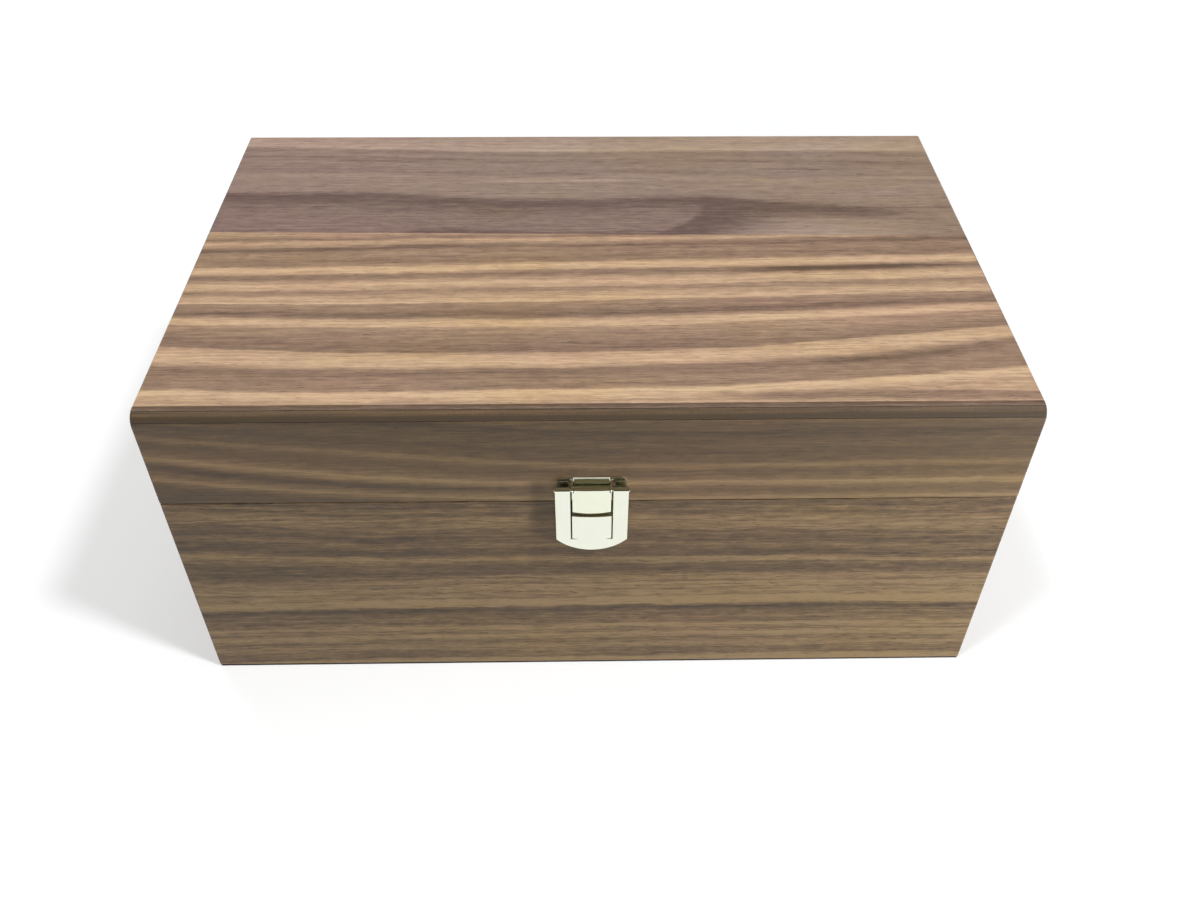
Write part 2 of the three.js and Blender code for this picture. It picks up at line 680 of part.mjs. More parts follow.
for (const [side, centreX] of Object.entries(hingePlaces)) {
  for (const [part, up] of [['body', -1], ['lid', 1]]) {
    const leaf = geometryOf(hingeLeaf(part, centreX, up));
    addPiece(`hinge_${side}_${part}_leaf`, drill(leaf, leafScrews[side][part]), platedFinish);
  }
  const pinEnd = hingeWidth / 2 + hingePinPlay;
  const profile = [
    new THREE.Vector2(0, -pinEnd - hingePinHead),
    new THREE.Vector2(hingePinRadius + hingePinHead, -pinEnd - hingePinHead),
    new THREE.Vector2(hingePinRadius + hingePinHead, -pinEnd),
    new THREE.Vector2(hingePinRadius, -pinEnd),
    new THREE.Vector2(hingePinRadius, pinEnd),
    new THREE.Vector2(hingePinRadius + hingePinHead, pinEnd),
    new THREE.Vector2(hingePinRadius + hingePinHead, pinEnd + hingePinHead),
    new THREE.Vector2(0, pinEnd + hingePinHead),
  ];
  const pin = new THREE.LatheGeometry(profile, roundFlats);
  pin.rotateZ(Math.PI / 2);
  pin.translate(centreX, hingeAxisY, hingeAxisZ);
  addPiece(`hinge_${side}_pin`, pin, platedFinish);
}

// Screws, one solid each
const screwGroups = {
  lid_plate_screw: lidPlateScrews,
  strike_screw: strikeScrews,
  hinge_left_body_screw: leafScrews.left.body,
  hinge_left_lid_screw: leafScrews.left.lid,
  hinge_right_body_screw: leafScrews.right.body,
  hinge_right_lid_screw: leafScrews.right.lid,
};
for (const [name, screws] of Object.entries(screwGroups)) {
  screws.forEach(({ kind, x, y, z }, i) => {
    addPiece(`${name}_${i + 1}`, driveScrew(kind, 0, 0, x, y, z), screwFinish);
  });
}

export default root;
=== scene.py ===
# Wooden storage box for papers and keepsakes: walnut veneer on boards, a rounded front top edge,
# a plated spring latch and two plated hinges. It stands closed on a white table.
import math

import bmesh
import bpy
from mathutils import Matrix, Vector


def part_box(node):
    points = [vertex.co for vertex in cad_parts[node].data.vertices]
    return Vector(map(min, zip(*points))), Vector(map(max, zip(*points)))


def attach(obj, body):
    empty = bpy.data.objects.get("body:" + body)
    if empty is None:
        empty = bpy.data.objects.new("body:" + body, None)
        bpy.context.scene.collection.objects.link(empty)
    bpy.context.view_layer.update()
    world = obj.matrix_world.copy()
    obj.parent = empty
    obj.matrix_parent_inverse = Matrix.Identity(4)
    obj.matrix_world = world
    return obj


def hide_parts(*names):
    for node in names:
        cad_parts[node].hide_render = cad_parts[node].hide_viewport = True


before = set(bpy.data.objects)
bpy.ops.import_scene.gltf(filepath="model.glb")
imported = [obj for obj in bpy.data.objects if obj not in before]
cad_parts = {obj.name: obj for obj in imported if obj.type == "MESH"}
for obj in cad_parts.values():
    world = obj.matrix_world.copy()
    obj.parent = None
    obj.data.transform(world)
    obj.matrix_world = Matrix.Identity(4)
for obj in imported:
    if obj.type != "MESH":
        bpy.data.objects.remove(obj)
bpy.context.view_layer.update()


# The view: a camera held by hand in front of the box and above it, turned a little off level.
# Its place comes from the box's edges in the photograph, a frame of 1200 x 900.
view_lens = bpy.data.cameras.new("view_lens")
view_lens.lens = 33.332
view_lens.sensor_width = 36
view_camera = bpy.data.objects.new("view_camera", view_lens)
view_camera.location = (-0.00488, -0.46402, 0.47101)
view_camera.rotation_euler = [math.radians(angle) for angle in (46.961, -0.376, -1.044)]
bpy.context.collection.objects.link(view_camera)
bpy.context.scene.camera = view_camera
bpy.context.scene.view_settings.view_transform = "Standard"


# The table: a white sheet far wider than the box, which fades out to plain white.
# It shows white to the camera and to polished metal, and keeps the soft shadow of the box.
class Flow:
    """A socket in a material, which can be worked with like a number."""

    def __init__(self, socket):
        self.socket = socket

    def node(self, kind, settings, inputs, output=0):
        """A new node: its settings are made first, then its sockets are set or linked."""
        tree = self.socket.id_data
        made = tree.nodes.new(kind)
        for name, value in settings.items():
            if name == "stops":
                marks = made.color_ramp.elements
                marks.remove(marks[1])
                marks[0].position, marks[0].color = value[0]
                for place, tint in value[1:]:
                    marks.new(place).color = tint
            else:
                setattr(made, name, value)
        for key, value in inputs.items():
            if isinstance(value, Flow):
                tree.links.new(value.socket, made.inputs[key])
            else:
                made.inputs[key].default_value = value
        return Flow(made.outputs[output])

    def part(self, output):
        """Another output of the same node."""
        return Flow(self.socket.node.outputs[output])

    def math(self, operation, *others):
        inputs = dict(enumerate((self,) + others))
        return self.node("ShaderNodeMath", {"operation": operation}, inputs)

    def into(self, shader, name):
        self.socket.id_data.links.new(self.socket, shader.inputs[name])

    def __add__(self, other):
        return self.math("ADD", other)

    def __sub__(self, other):
        return self.math("SUBTRACT", other)

    def __rsub__(self, first):
        return self.node("ShaderNodeMath", {"operation": "SUBTRACT"}, {0: first, 1: self})

    def __mul__(self, other):
        return self.math("MULTIPLY", other)

    def __truediv__(self, other):
        return self.math("DIVIDE", other)

    def __gt__(self, other):
        return self.math("GREATER_THAN", other)

    __radd__ = __add__
    __rmul__ = __mul__


table_half_width = 4
shadows_end, plain_white_from = 0.45, 1.3
glow_near_box = 0.317
glow_stops = [(0.0, (0, 0, 0, 1)), (1.0, (1, 0.99, 0.97, 1))]

table_paint = bpy.data.materials.new("white_table")
table_paint.use_nodes = True
tree = table_paint.node_tree
tree.nodes.remove(tree.nodes["Principled BSDF"])
rays = Flow(tree.nodes.new("ShaderNodeLightPath").outputs["Is Camera Ray"])
mirrored = rays.part("Is Glossy Ray").math("MAXIMUM", rays.part("Is Transmission Ray"))
seen = rays.math("MAXIMUM", mirrored)
bounce = seen.node("ShaderNodeBsdfDiffuse", {}, {"Color": (0.27, 0.27, 0.26, 1)})
shade = seen.node("ShaderNodeBsdfDiffuse", {}, {"Color": (0.69, 0.7, 0.71, 1)})
ground = Flow(tree.nodes.new("ShaderNodeTexCoord").outputs["Object"])
distance = ground.node("ShaderNodeVectorMath", {"operation": "LENGTH"}, {0: ground}, 1)
white_share = distance.node(
    "ShaderNodeMapRange", {"interpolation_type": "SMOOTHSTEP"},
    {0: distance, 1: shadows_end, 2: plain_white_from, 3: glow_near_box, 4: 1.0})
glow_tint = white_share.node("ShaderNodeValToRGB", {"stops": glow_stops}, {0: white_share})
glow = seen.node("ShaderNodeEmission", {}, {"Color": glow_tint, "Strength": 1.0})
pale = shade.node("ShaderNodeAddShader", {}, {0: shade, 1: glow})
seen.node("ShaderNodeMixShader", {}, {0: seen, 1: bounce, 2: pale}).into(
    tree.nodes["Material Output"], "Surface")

table_sheet = bmesh.new()
bmesh.ops.create_grid(table_sheet, x_segments=1, y_segments=1, size=table_half_width)
table_mesh = bpy.data.meshes.new("table")
table_sheet.to_mesh(table_mesh)
table_sheet.free()
table_mesh.materials.append(table_paint)
table = bpy.data.objects.new("table", table_mesh)
bpy.context.collection.objects.link(table)


# The studio: a soft light overhead, two lamps high behind the camera, which throw the two soft
# shadows on the table, and weak low lights at the right and behind. The surroundings show white,
# but polished metal mirrors a darker room above the level of the table.
world = bpy.data.worlds.new("studio")
world.use_nodes = True
bpy.context.scene.world = world
tree = world.node_tree
tree.nodes.remove(tree.nodes["Background"])
look = Flow(tree.nodes.new("ShaderNodeTexCoord").outputs["Generated"])
height = look.node("ShaderNodeSeparateXYZ", {}, {0: look}).part("Z")
room_stops = [
    (0.0, (0.95, 0.95, 0.93, 1)),
    (0.49, (0.95, 0.95, 0.93, 1)),
    (0.53, (0.06, 0.05, 0.035, 1)),
    (0.70, (0.05, 0.04, 0.03, 1)),
    (0.82, (0.13, 0.10, 0.06, 1)),
    (1.0, (0.13, 0.10, 0.06, 1)),
]
rays = Flow(tree.nodes.new("ShaderNodeLightPath").outputs["Is Camera Ray"])
room = look.node("ShaderNodeValToRGB", {"stops": room_stops}, {0: height * 0.5 + 0.5})
white = look.node("ShaderNodeBackground", {}, {"Color": (1, 1, 1, 1), "Strength": 1.0})
mirrored = look.node("ShaderNodeBackground", {}, {"Color": room, "Strength": 1.0})
fill = look.node("ShaderNodeBackground", {}, {"Color": (1, 1, 1, 1), "Strength": 0.08})
glossy = rays.part("Is Glossy Ray")
unseen = look.node("ShaderNodeMixShader", {}, {0: glossy, 1: fill, 2: mirrored})
look.node("ShaderNodeMixShader", {}, {0: rays, 1: unseen, 2: white}).into(
    tree.nodes["World Output"], "Surface")


def soft_light(name, size, power, place, aim, mirrored):
    """A round lamp, in metres and watts, which shines from its place towards its aim."""
    lamp = bpy.data.lights.new(name, "AREA")
    lamp.shape = "DISK"
    lamp.size = size
    lamp.energy = power
    made = bpy.data.objects.new(name, lamp)
    made.location = place
    made.rotation_euler = (Vector(aim) - Vector(place)).to_track_quat("-Z", "Y").to_euler()
    made.visible_glossy = mirrored
    bpy.context.collection.objects.link(made)


soft_light("overhead_light", 1.4, 9, (0, 0, 1.9), (0, 0, 0.1), mirrored=False)
soft_light("right_lamp", 0.45, 78, (1.85, -1.0, 3.5), (0, 0, 0.1), mirrored=True)
soft_light("left_lamp", 0.45, 38, (-1.15, -1.0, 3.5), (0, 0, 0.1), mirrored=True)
soft_light("right_light", 0.24, 6.2, (0.9, -0.6, 0.14), (0.15, -0.12, 0.08), mirrored=True)
soft_light("rear_light", 0.3, 6, (-0.9, 0.9, 0.2), (0, 0, 0.08), mirrored=False)


# The boards: stained fibreboard, mitred and glued into one ring for the body and one for the lid,
# with a panel on the lid. All of them are cut from two eased blocks, so that every edge runs
# through from piece to piece. The frame gives the outside, the seam and the thicknesses.
mm = 0.001
front_sheet_low, front_sheet_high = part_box("body_front_veneer")
box_low = front_sheet_low
box_high = Vector((-box_low.x, -box_low.y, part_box("lid_top_veneer_front")[1].z))
seam_low, seam_high = front_sheet_high.z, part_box("lid_front_veneer")[0].z
skin = front_sheet_high.y - box_low.y
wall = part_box("body_front_wall")[1].y - box_low.y
panel_low, panel_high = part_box("bottom_panel")
top_board_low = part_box("lid_top_board")[0].z
under_skin = box_high.z - skin
rabbet = 4 * mm
round_over = 6 * mm
rounded_low, rounded_back = box_high.z - round_over, box_low.y + round_over
body_corner, body_foot, body_rim = 1.0 * mm, 1.3 * mm, 0.7 * mm
lid_corner, lid_rim, inner_rim = 0.9 * mm, 0.4 * mm, 0.5 * mm
joint_line = 0.12 * mm
same_place = 0.01 * mm
on_the_plane = 0.001 * mm
shortest_joint = 1 * mm
same_slope, flat_enough = 0.01, 0.002


def solid_block(low, high):
    """A straight-sided block between two corners."""
    block = bmesh.new()
    bmesh.ops.create_cube(block, size=1)
    bmesh.ops.scale(block, vec=high - low, verts=block.verts)
    bmesh.ops.translate(block, vec=(low + high) / 2, verts=block.verts)
    return block


def edges_where(block, test):
    """The edges with both ends in a place that passes the test."""
    return [edge for edge in block.edges if all(test(vert.co) for vert in edge.verts)]


def ease(block, edges, radius, segments):
    """Rounds edges over."""
    bmesh.ops.bevel(block, geom=edges, offset=radius, offset_type="OFFSET", affect="EDGES",
                    segments=segments, profile=0.5, material=-1, clamp_overlap=False)


def join_flat_faces(block):
    """Makes one face of neighbours that lie in one plane."""
    bmesh.ops.dissolve_limit(block, angle_limit=flat_enough, verts=block.verts[:],
                             edges=block.edges[:])


def cut(block, point, outward):
    """Saws the block along a plane and keeps what is behind it. The blocks bulge everywhere, so
    that a hull round the points that are left closes the cut."""
    everything = block.verts[:] + block.edges[:] + block.faces[:]
    bmesh.ops.bisect_plane(block, geom=everything, dist=on_the_plane, plane_co=point,
                           plane_no=outward, clear_outer=True)
    bmesh.ops.delete(block, geom=block.edges[:], context="EDGES_FACES")
    hull = bmesh.ops.convex_hull(block, input=block.verts[:])
    spare = {vert for vert in hull["geom_interior"] + hull["geom_unused"]
             if isinstance(vert, bmesh.types.BMVert)}
    bmesh.ops.delete(block, geom=list(spare), context="VERTS")
    join_flat_faces(block)


def part_of(block, **spans):
    """A copy of the block between two places along X, Y or Z."""
    part = block.copy()
    for axis, (low, high) in spans.items():
        outward = Vector((axis == "x", axis == "y", axis == "z"))
        if high is not None:
            cut(part, outward * high, outward)
        if low is not None:
            cut(part, outward * low, -outward)
    return part


def fit(name, block, finish, body, node):
    """Makes a piece of the block, on its body, in place of the CAD node that it stands for."""
    bmesh.ops.recalc_face_normals(block, faces=block.faces[:])
    if block.calc_volume(signed=True) < 0:
        # a thin face at an outer corner has turned the whole piece inwards
        bmesh.ops.reverse_faces(block, faces=block.faces[:])
    mesh = bpy.data.meshes.new(name)
    block.to_mesh(mesh)
    block.free()
    mesh.materials.append(finish)
    mesh.shade_smooth()
    piece = bpy.data.objects.new(name, mesh)
    bpy.context.collection.objects.link(piece)
    smooth = piece.modifiers.new("even_shading", "WEIGHTED_NORMAL")
    smooth.weight = 100
    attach(piece, body)
    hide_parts(node)
    return piece


def material(name, roughness):
    """A new material, its shader, and the place on the piece in millimetres along X, Y and Z."""
    made = bpy.data.materials.new(name)
    made.use_nodes = True
    shader = made.node_tree.nodes["Principled BSDF"]
    shader.inputs["Roughness"].default_value = roughness
    here = Flow(made.node_tree.nodes.new("ShaderNodeTexCoord").outputs["Object"])
    large = here.node("ShaderNodeVectorMath", {"operation": "SCALE"}, {0: here, "Scale": 1000})
    split = here.node("ShaderNodeSeparateXYZ", {}, {0: large})
    return made, shader, split.part("X"), split.part("Y"), split.part("Z")


def noise(a, b, c, detail=2.0, roughness=0.5):
    """Soft noise from 0 to 1 over three lengths; one that is divided more is drawn out more."""
    where = a.node("ShaderNodeCombineXYZ", {}, {0: a, 1: b, 2: c})
    return a.node("ShaderNodeTexNoise", {},
                  {"Vector": where, "Scale": 1, "Detail": detail, "Roughness": roughness})


def colour(red, green, blue):
    """A colour as it is read off a picture, from 0 to 255, as light."""
    def light(value):
        value /= 255
        return value / 12.92 if value <= 0.04045 else ((value + 0.055) / 1.055) ** 2.4
    return light(red), light(green), light(blue), 1


def ease_step(value, low, high):
    """0 below low, 1 above high and a smooth rise between."""
    return value.node("ShaderNodeMapRange", {"interpolation_type": "SMOOTHSTEP"},
                      {0: value, 1: low, 2: high, 3: 0.0, 4: 1.0})


# The stain shows on the rounded edge, the rims and the inside. On the rounded edge the colour is
# darkened as painted shade, and below the corner line, where the curve turns down to the front,
# it takes a dark tone like the veneer under it, also as painted shade.
stained_board, shader, x, y, z = material("stained_board", 0.55)
edge_band_low = rounded_low / mm - 1.0
edge_band_ends = (rounded_back / mm - 2.6, rounded_back / mm - 2.2)
corner_line = (rounded_low / mm + 3.9, rounded_low / mm + 4.5)
# painted shade: the dark tone laid on the rounded edge below the corner line
painted_corner_shade = colour(73, 59, 43)
board_stops = [(0.0, colour(54, 39, 18)), (0.5, colour(95, 70, 38)), (1.0, colour(127, 99, 57))]
cloudy = noise(x / 40, y / 12, z / 12)
speck = noise(x / 0.9, y / 0.7, z / 0.7, roughness=0.6)
wiped = noise(x / 45, y / 1.1, z / 1.1, roughness=0.6)
# painted shade: the rounded front edge of the board is darker all along it
shaded_round_edge = (z > edge_band_low) * (1.0 - ease_step(y, *edge_band_ends))
shade_below_corner_line = 1.0 - ease_step(z, *corner_line)
board_tone = (cloudy - 0.5) * 0.6 + (speck - 0.5) * 0.7 + (wiped - 0.5) + 0.5 - 0.14 * shaded_round_edge
board_colour = z.node("ShaderNodeValToRGB", {"stops": board_stops}, {0: board_tone})
# the rounded edge below the corner line is mixed towards the dark tone, as painted shade
z.node("ShaderNodeMix", {"data_type": "RGBA"},
       {0: shaded_round_edge * shade_below_corner_line, 6: board_colour, 7: painted_corner_shade}, 2).into(shader, "Base Color")
speck.node("ShaderNodeBump", {}, {"Strength": 0.3, "Distance": 0.00008, "Height": speck}).into(
    shader, "Normal")

body_block = solid_block(box_low, Vector((box_high.x, box_high.y, seam_low)))
upright = [edge for edge in body_block.edges
           if abs(edge.verts[0].co.z - edge.verts[1].co.z) > wall]
ease(body_block, upright, body_corner, segments=4)
rim = edges_where(body_block, lambda v: v.z > seam_low - same_place)
ease(body_block, rim, body_rim, segments=3)
foot = edges_where(body_block, lambda v: v.z < box_low.z + same_place)
ease(body_block, foot, body_foot, segments=4)

lid_block = solid_block(Vector((box_low.x, box_low.y, seam_high)), box_high)
top = edges_where(lid_block, lambda v: v.z > box_high.z - same_place)
front_top = [edge for edge in top
             if all(vert.co.y < box_low.y + same_place for vert in edge.verts)]
ease(lid_block, front_top, round_over, segments=20)
above_rim = [edge for edge in lid_block.edges
             if any(vert.co.z > seam_high + same_place for vert in edge.verts)]
ease(lid_block, above_rim, lid_corner, segments=3)
rim = edges_where(lid_block, lambda v: v.z < seam_high + same_place)
ease(lid_block, rim, lid_rim, segments=2)
for vert in lid_block.verts:
    # where three eased edges meet, a corner swells by a few hundredths of a millimetre
    vert.co.z = min(vert.co.z, box_high.z)

box_sides = {
    "front": Vector((0, -1, 0)),
    "back": Vector((0, 1, 0)),
    "left": Vector((-1, 0, 0)),
    "right": Vector((1, 0, 0)),
}


def half_way(outward):
    """Distance from the middle of the box to the face that looks this way."""
    return abs(outward.x) * box_high.x + abs(outward.y) * box_high.y


def mitred_wall(core, outward):
    """One wall of a ring of boards, cut off at 45 degrees where it meets its neighbours."""
    part = core.copy()
    along = Vector((-outward.y, outward.x, 0))
    cut(part, outward * (half_way(outward) - wall), -outward)
    for end in (-1, 1):
        corner = outward * half_way(outward) + along * end * half_way(along)
        cut(part, corner, (along * end - outward).normalized())
    return part


def ease_joint(block):
    """A hair's breadth off the edges of the mitres, so that the joints can be seen."""
    mitres = [face for face in block.faces if face.calc_area() > wall * wall
              and abs(abs(face.normal.x) - abs(face.normal.y)) < same_slope
              and abs(face.normal.z) < same_slope]
    edges = {edge for face in mitres for edge in face.edges
             if edge.calc_length() > shortest_joint}
    ease(block, list(edges), joint_line, segments=1)


def cut_rabbet(block, outward):
    """Takes the step for the bottom panel out of the inner lower edge."""
    depth, floor_top = half_way(outward) - wall + rabbet, panel_high.z
    upright, level = (outward * depth, outward), (Vector((0, 0, floor_top)), Vector((0, 0, 1)))
    for point, direction in (upright, level):
        everything = block.verts[:] + block.edges[:] + block.faces[:]
        bmesh.ops.bisect_plane(block, geom=everything, dist=on_the_plane, plane_co=point,
                               plane_no=direction)
    step = [face for face in block.faces if face.calc_center_median().z < floor_top
            and face.calc_center_median().dot(outward) < depth]
    bmesh.ops.delete(block, geom=step, context="FACES")
    corner = [vert for vert in block.verts if abs(vert.co.z - floor_top) < same_place
              and abs(vert.co.dot(outward) - depth) < same_place]
    bmesh.ops.contextual_create(block, geom=corner)
    for point, direction in (upright, level):
        rim = [edge for edge in edges_where(
            block, lambda v: abs((v - point).dot(direction)) < same_place)
            if edge.is_boundary or edge.is_wire]
        bmesh.ops.contextual_create(block, geom=rim)
    join_flat_faces(block)


inner_x, inner_y = box_high.x - skin, box_high.y - skin
within_skin = {"x": (-inner_x, inner_x), "y": (-inner_y, inner_y)}
body_core = part_of(body_block, **within_skin)
lid_core = part_of(lid_block, **within_skin, z=(None, top_board_low))
rings = (("body", "box_body", body_core, seam_low), ("lid", "lid", lid_core, seam_high))
for side, outward in box_sides.items():
    inner_face = half_way(outward) - wall
    for ring, body, core, seam in rings:
        board = mitred_wall(core, outward)
        if ring == "body":
            cut_rabbet(board, outward)
        rim = edges_where(board, lambda v: abs(v.z - seam) < same_place
                          and abs(v.dot(outward) - inner_face) < same_place)
        ease(board, rim, inner_rim, segments=3)
        ease_joint(board)
        fit(f"{ring}_{side}_board", board, stained_board, body,
            f"{ring}_{side}_wall")

fit("lid_panel", part_of(lid_block, **within_skin, z=(top_board_low, under_skin)),
    stained_board, "lid", "lid_top_board")
body_core.free()
lid_core.free()


# The veneer: thin sheets of walnut glued to every outer face. The front and back sheets cover the
# edges of the side sheets, and the two sheets on the top cover them all. At the foot and on the
# rounded edge the wood is darkened as painted shade, where the box meets the table and where the
# edge turns down to the front.
half_length = box_high.x / mm
top_sheet_low = under_skin / mm - 0.1
foot_shade_band = (box_low.z / mm + 0.4, box_low.z / mm + 1.0)
round_edge_shade_band = (rounded_back / mm + 0.55, rounded_back / mm + 0.9)
grain_along_x, grain_along_y, grain_on_top = (0, 2), (1, 2), (0, 1)

# How far each kind of mark in the wood is drawn out along and across the grain, in mm
wander_size, ripple_size, flutter_size = (75, 22), (14, 5), (3.2, 1.6)
streak_size, fine_size, mottle_size = (60, 1.3), (15, 0.6), (9, 3.5)
dash_size, hue_size = (6, 0.55), (100, 30)


def stripes(across, marks):
    """The tone of the wood at a distance across the grain, drawn through marks of (mm, tone)."""
    most = 30
    tone = None
    for first in range(0, len(marks) - 1, most):
        group = marks[first:first + most + 1]
        low, high = group[0][0], group[-1][0]
        stops = [((place - low) / (high - low), (t, t, t, 1)) for place, t in group]
        share = (across - low) / (high - low)
        band = across.node("ShaderNodeValToRGB", {"stops": stops}, {0: share})
        tone = band if tone is None else tone + (across > low) * (band - tone)
    return tone


def smear(along, across, start, end, width, taper):
    """A drawn-out mark from start to end, both (along, across) in mm, as a mask from 0 to 1."""
    (x0, y0), (x1, y1) = start, end
    middle = (along - x0) * ((y1 - y0) / (x1 - x0)) + y0
    off = (across - middle).math("ABSOLUTE") / width
    ends = ease_step(along, x0, x0 + taper) * (1.0 - ease_step(along, x1 - taper, x1))
    return (1.0 - ease_step(off, 0.2, 1.0)) * ends


def smeared(tone, along, smears):
    """The tone with smears on it, each (how much lighter, across, start, end, width, taper)."""
    for lighter, across, *mark in smears:
        tone = tone + lighter * smear(along, across, *mark)
    return tone


def grain_marks(along, across, size, seed, detail=2.0, roughness=0.5):
    """Noise from 0 to 1 which changes over a size of (mm along the grain, mm across it)."""
    return noise(along / size[0], across / size[1], seed, detail, roughness)


def walnut(name, tints, seed, axes, pattern, figure=1.0, drift=0.0):
    """Walnut veneer, satin lacquered. pattern gives the tone from the lengths along and across,
    axes are those two of X, Y and Z, and figure is the strength of the fine marks."""
    made, shader, *place = material(name, 0.5)
    along, across = place[axes[0]], place[axes[1]]
    wander = grain_marks(along, across, wander_size, seed, 1.0) - 0.5
    ripple = grain_marks(along, across, ripple_size, seed + 7) - 0.5
    flutter = grain_marks(along, across, flutter_size, seed + 13) - 0.5
    lines = across + wander * 3.0 + ripple * (1.4 * figure) + flutter * 0.7
    tone = pattern(along, lines)
    streak = grain_marks(along, lines, streak_size, seed + 3, 3.0, 0.65) - 0.5
    fine = grain_marks(along, lines, fine_size, seed + 5, 3.0, 0.65) - 0.5
    mottle = grain_marks(along, across, mottle_size, seed + 9, 3.0, 0.6) - 0.5
    dashes = ease_step(grain_marks(along, lines, dash_size, seed + 11, 1.0), 0.62, 0.76)
    tone = tone + (streak * 0.7 + fine * 0.75 + mottle * 0.4 - dashes * 0.3) * figure
    # painted shade: a dark band at the foot, where the box meets the table
    foot_shade = 1.0 - ease_step(place[2], *foot_shade_band)
    # painted shade: the top sheets darken where they turn down over the rounded front edge
    round_edge_shade = (place[2] > top_sheet_low) * (1.0 - ease_step(place[1], *round_edge_shade_band))
    tone = tone - foot_shade * 0.9 - round_edge_shade * 0.74
    stops = [(share, colour(*rgb)) for share, rgb in tints]
    wood = tone.node("ShaderNodeValToRGB", {"stops": stops}, {0: tone})

    hue = grain_marks(along, across, hue_size, seed + 15) + place[0] * drift
    casts = [(0.3, (1.03, 0.98, 1.01, 1)), (0.5, (1, 1, 1, 1)), (0.7, (1.0, 0.98, 0.89, 1))]
    cast = hue.node("ShaderNodeValToRGB", {"stops": casts}, {0: hue})
    wood.node("ShaderNodeMix", {"data_type": "RGBA", "blend_type": "MULTIPLY"},
              {0: 1.0, 6: wood, 7: cast}, 2).into(shader, "Base Color")
    (fine * 0.12 + dashes * 0.12 + 0.5).into(shader, "Roughness")
    relief = streak * 0.35 + fine * 0.5 - dashes * 0.6
    pores = {"Strength": 0.25, "Distance": 0.00006, "Height": relief}
    relief.node("ShaderNodeBump", {}, pores).into(shader, "Normal")
    return made


# The front sheet of the top, with broad light and dark growth lines.
top_front_tints = [
    (0.0, (102, 83, 68)),
    (0.25, (133, 109, 92)),
    (0.5, (159, 132, 110)),
    (0.75, (187, 156, 127)),
    (0.9, (205, 172, 140)),
    (1.0, (216, 186, 150)),
]
top_front_marks = [
    (-125, .86), (-116, .8), (-113, .78), (-112, .7), (-110, .8), (-107, .96), (-105, 1.0),
    (-103.8, .62), (-103, .45), (-98, .46), (-94, .38), (-92, .3), (-90, .4), (-88.5, .72),
    (-86, .9), (-81, .84), (-78.7, .7), (-78, .36), (-76, .32), (-72, .36), (-67, .48), (-62, .53),
    (-60.8, .64), (-59.5, .88), (-56, .9), (-53.5, .66), (-52.5, .42), (-50.5, .24), (-48.5, .25),
    (-46.5, .42), (-42.5, .48), (-40.6, .56), (-39.6, .92), (-38, .86), (-34, .74), (-31, .52),
    (-29.2, .5), (-27.5, .8), (-24.5, .9), (-21.5, .74), (-19, .48), (-17, .34), (-15.6, .42),
    (-13.4, .84), (-11, .96), (-8.6, .82), (-6.6, .46), (-3, .37), (1, .5), (4, .43), (6.2, .24),
    (8, .36), (9.6, .6), (11.8, .78), (13.6, .7), (14.8, .42), (16, .38), (17.2, .56), (21, .72),
]


def top_front_pattern(along, across):
    """Growth lines that dip a little in the middle and rise at the right, most near the front."""
    share = along / half_length
    ahead = across * -1.0
    bump = smear(along, across, (-125.0, 10.0), (-10.0, 10.0), 16.0, 45.0)
    rear_rise = share * (share + 5.0) + 1.6 * bump
    front_rise = share * share * (11.5 + share * 1.7) * ease_step(ahead, 26.0, 70.0)
    lines = across - rear_rise - front_rise * (1.0 - 0.48 * ease_step(ahead, 72.0, 98.0))
    return smeared(stripes(lines, top_front_marks), along, [
        (-0.42, lines, (60.0, -18.3), (186.0, -17.6), 3.4, 40.0),
        (-0.42, across, (40.0, -108.6), (240.0, -109.8), 4.6, 50.0),
        (-0.12, lines, (-240.0, 6.4), (-50.0, 6.4), 2.2, 40.0),
        (0.12, lines, (10.0, -68.0), (250.0, -68.0), 14.0, 140.0),
        (along * -0.05 / half_length, lines, (-260.0, 2.0), (260.0, 2.0), 16.0, 60.0),
        (-0.22, lines, (85.0, -92.0), (170.0, -93.0), 2.2, 30.0),
    ])


walnut_top_front = walnut("walnut_top_front", top_front_tints, 3.0, grain_on_top,
                          top_front_pattern, figure=1.1)

# The rear sheet of the top, quieter and more purple, with one dark tongue.
top_rear_tints = [
    (0.0, (104, 86, 80)),
    (0.25, (129, 109, 100)),
    (0.5, (152, 132, 119)),
    (0.75, (171, 149, 133)),
    (1.0, (193, 170, 151)),
]
top_rear_marks = [
    (14, .3), (20, .33), (26, .36), (33, .34), (39, .24), (43.5, .12), (46.5, .06), (49, .14),
    (51, .4), (54, .5), (60, .52), (65, .5), (67.5, .54), (69.5, .56), (72, .6), (74.5, .5),
    (77, .4), (81, .46), (85, .52), (89, .44), (91.5, .36), (94, .54), (98, .42), (101, .5),
    (102.5, .78), (104, .88), (106, .82), (110, .76), (115, .72), (121, .66),
]
past_tongue_marks = [
    (14, .68), (22, .62), (30, .55), (36, .34), (41, .14), (45, .06), (48, .14), (51, .4),
]


